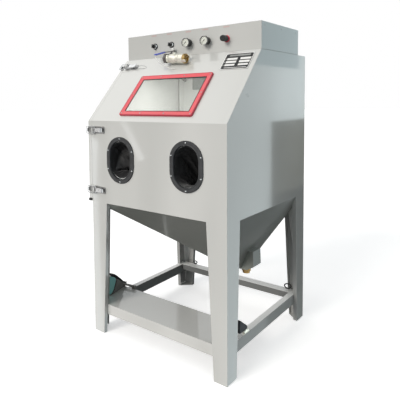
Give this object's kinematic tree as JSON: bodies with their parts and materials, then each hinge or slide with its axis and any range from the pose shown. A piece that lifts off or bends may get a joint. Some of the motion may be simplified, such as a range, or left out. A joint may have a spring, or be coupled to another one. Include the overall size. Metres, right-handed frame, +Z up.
{
  "type": "sandblast cabinet",
  "caption": "Floor-standing sandblast cabinet with a side door, sloping window, glove ports, control header, media hopper and foot valve.",
  "frame": {"origin": "centre of the footprint, on the floor", "axes": "+Z up, +X to the operator's right, -Y out of the front towards the operator"},
  "size_m": [0.9749, 0.991, 1.755],
  "materials": {
    "paint": "smooth light grey gloss",
    "inner_paint": "white",
    "red_paint": "satin red",
    "chrome": "bright",
    "steel": "dull plated",
    "brass": "machined",
    "rubber": "matt black",
    "black_plastic": "satin black",
    "grey_plastic": "satin dark grey",
    "blue_plastic": "dipped vinyl",
    "red_plastic": "gloss red",
    "teal_paint": "satin teal",
    "glass": "clear"
  },
  "bodies": {
    "cabinet": {"front_panel": "paint", "right_panel": "paint", "left_door_frame": "paint", "rear_panel": "paint", "dust_outlet_collar": "paint", "top_panel": "paint", "hopper": "paint", "media_pickup_box": "paint", "control_panel": "paint", "header_cover": "paint", "left_rail": "paint", "right_rail": "paint", "rear_rail": "paint", "foot_shelf": "paint", "lamp_housing": "inner_paint", "window_frame": "red_paint", "window_glass": "glass", "media_drain_plug": "brass", "inlet_hose_union": "brass", "glove_ring_left": "grey_plastic", "glove_ring_right": "grey_plastic", "glove_sleeve_left": "rubber", "glove_sleeve_right": "rubber", "light_switch_bezel": "chrome", "blower_switch_bezel": "chrome", "supply_gauge_case": "black_plastic", "blast_gauge_case": "black_plastic", "rating_plate": "black_plastic", "foot_valve_base": "grey_plastic", "regulator_lock_ring": "red_plastic", "inlet_elbow": "steel", "inlet_valve_body": "steel", "work_grate": "steel", "blast_gun": "steel", "foot_valve_block": "teal_paint", "hinge_upper_fixed_leaf": "steel", "hinge_lower_fixed_leaf": "steel", "latch_upper_base": "chrome", "latch_middle_base": "chrome", "latch_lower_base": "chrome"},
    "door": {"side_door": "paint", "door_seal": "rubber", "hinge_upper_door_leaf": "steel", "hinge_lower_door_leaf": "steel", "latch_upper_keeper": "chrome", "latch_middle_keeper": "chrome", "latch_lower_keeper": "chrome"},
    "upper_latch_lever": {"latch_upper_lever": "chrome"},
    "upper_latch_bail": {"latch_upper_bail": "chrome"},
    "middle_latch_lever": {"latch_middle_lever": "chrome"},
    "middle_latch_bail": {"latch_middle_bail": "chrome"},
    "lower_latch_lever": {"latch_lower_lever": "chrome"},
    "lower_latch_bail": {"latch_lower_bail": "chrome"},
    "light_switch": {"light_switch_knob": "black_plastic"},
    "blower_switch": {"blower_switch_knob": "black_plastic"},
    "supply_needle": {"supply_gauge_needle": "black_plastic"},
    "blast_needle": {"blast_gauge_needle": "black_plastic"},
    "pressure_regulator": {"regulator_knob": "black_plastic"},
    "inlet_lever": {"inlet_valve_lever": "blue_plastic"},
    "treadle": {"foot_valve_treadle": "black_plastic"}
  },
  "joints": [
    {"name": "door_hinge", "type": "hinge", "parent": "cabinet", "child": "door", "pos_m": [-0.4255, 0.4555, 1.19], "axis": [0, 0, -1], "range_deg": [0, 110]},
    {"name": "upper_latch_lever_swing", "type": "hinge", "parent": "cabinet", "child": "upper_latch_lever", "pos_m": [-0.3875, -0.19042, 1.56906], "axis": [0, -0.6827, -0.7307], "range_deg": [0, 150]},
    {"name": "upper_latch_bail_swing", "type": "hinge", "parent": "upper_latch_lever", "child": "upper_latch_bail", "pos_m": [-0.3745, -0.19042, 1.56906], "axis": [0, -0.6827, -0.7307], "range_deg": [-150, 0]},
    {"name": "middle_latch_lever_swing", "type": "hinge", "parent": "cabinet", "child": "middle_latch_lever", "pos_m": [-0.3875, -0.4875, 1.194], "axis": [0, 0, -1], "range_deg": [0, 150]},
    {"name": "middle_latch_bail_swing", "type": "hinge", "parent": "middle_latch_lever", "child": "middle_latch_bail", "pos_m": [-0.3745, -0.4875, 1.194], "axis": [0, 0, -1], "range_deg": [-150, 0]},
    {"name": "lower_latch_lever_swing", "type": "hinge", "parent": "cabinet", "child": "lower_latch_lever", "pos_m": [-0.3875, -0.4875, 0.848], "axis": [0, 0, -1], "range_deg": [0, 150]},
    {"name": "lower_latch_bail_swing", "type": "hinge", "parent": "lower_latch_lever", "child": "lower_latch_bail", "pos_m": [-0.3745, -0.4875, 0.848], "axis": [0, 0, -1], "range_deg": [-150, 0]},
    {"name": "light_switch_turn", "type": "hinge", "parent": "cabinet", "child": "light_switch", "pos_m": [-0.2045, -0.1545, 1.681], "axis": [0, 1, 0], "range_deg": [0, 60]},
    {"name": "blower_switch_turn", "type": "hinge", "parent": "cabinet", "child": "blower_switch", "pos_m": [-0.0815, -0.1545, 1.681], "axis": [0, 1, 0], "range_deg": [0, 60]},
    {"name": "supply_needle_sweep", "type": "hinge", "parent": "cabinet", "child": "supply_needle", "pos_m": [0.0415, -0.1685, 1.681], "axis": [0, 1, 0], "range_deg": [0, 270]},
    {"name": "blast_needle_sweep", "type": "hinge", "parent": "cabinet", "child": "blast_needle", "pos_m": [0.1645, -0.1685, 1.681], "axis": [0, 1, 0], "range_deg": [0, 270]},
    {"name": "regulator_turn", "type": "hinge", "parent": "cabinet", "child": "pressure_regulator", "pos_m": [0.2875, -0.1545, 1.681], "axis": [0, 1, 0], "range_deg": [0, 720]},
    {"name": "inlet_lever_turn", "type": "hinge", "parent": "cabinet", "child": "inlet_lever", "pos_m": [-0.01116, -0.1995, 1.62977], "axis": [0.067, 0, 0.9978], "range_deg": [0, 90]},
    {"name": "treadle_press", "type": "hinge", "parent": "cabinet", "child": "treadle", "pos_m": [-0.45944, -0.18802, 0.1873], "axis": [0.9833, 0.182, 0], "range_deg": [0, 4], "stiffness_Nm_per_rad": 3, "springref_deg": -22.92}
  ],
  "couplings": [
    {"joint": "upper_latch_bail_swing", "follows": "upper_latch_lever_swing", "ratio": -1},
    {"joint": "middle_latch_bail_swing", "follows": "middle_latch_lever_swing", "ratio": -1},
    {"joint": "lower_latch_bail_swing", "follows": "lower_latch_lever_swing", "ratio": -1}
  ]
}
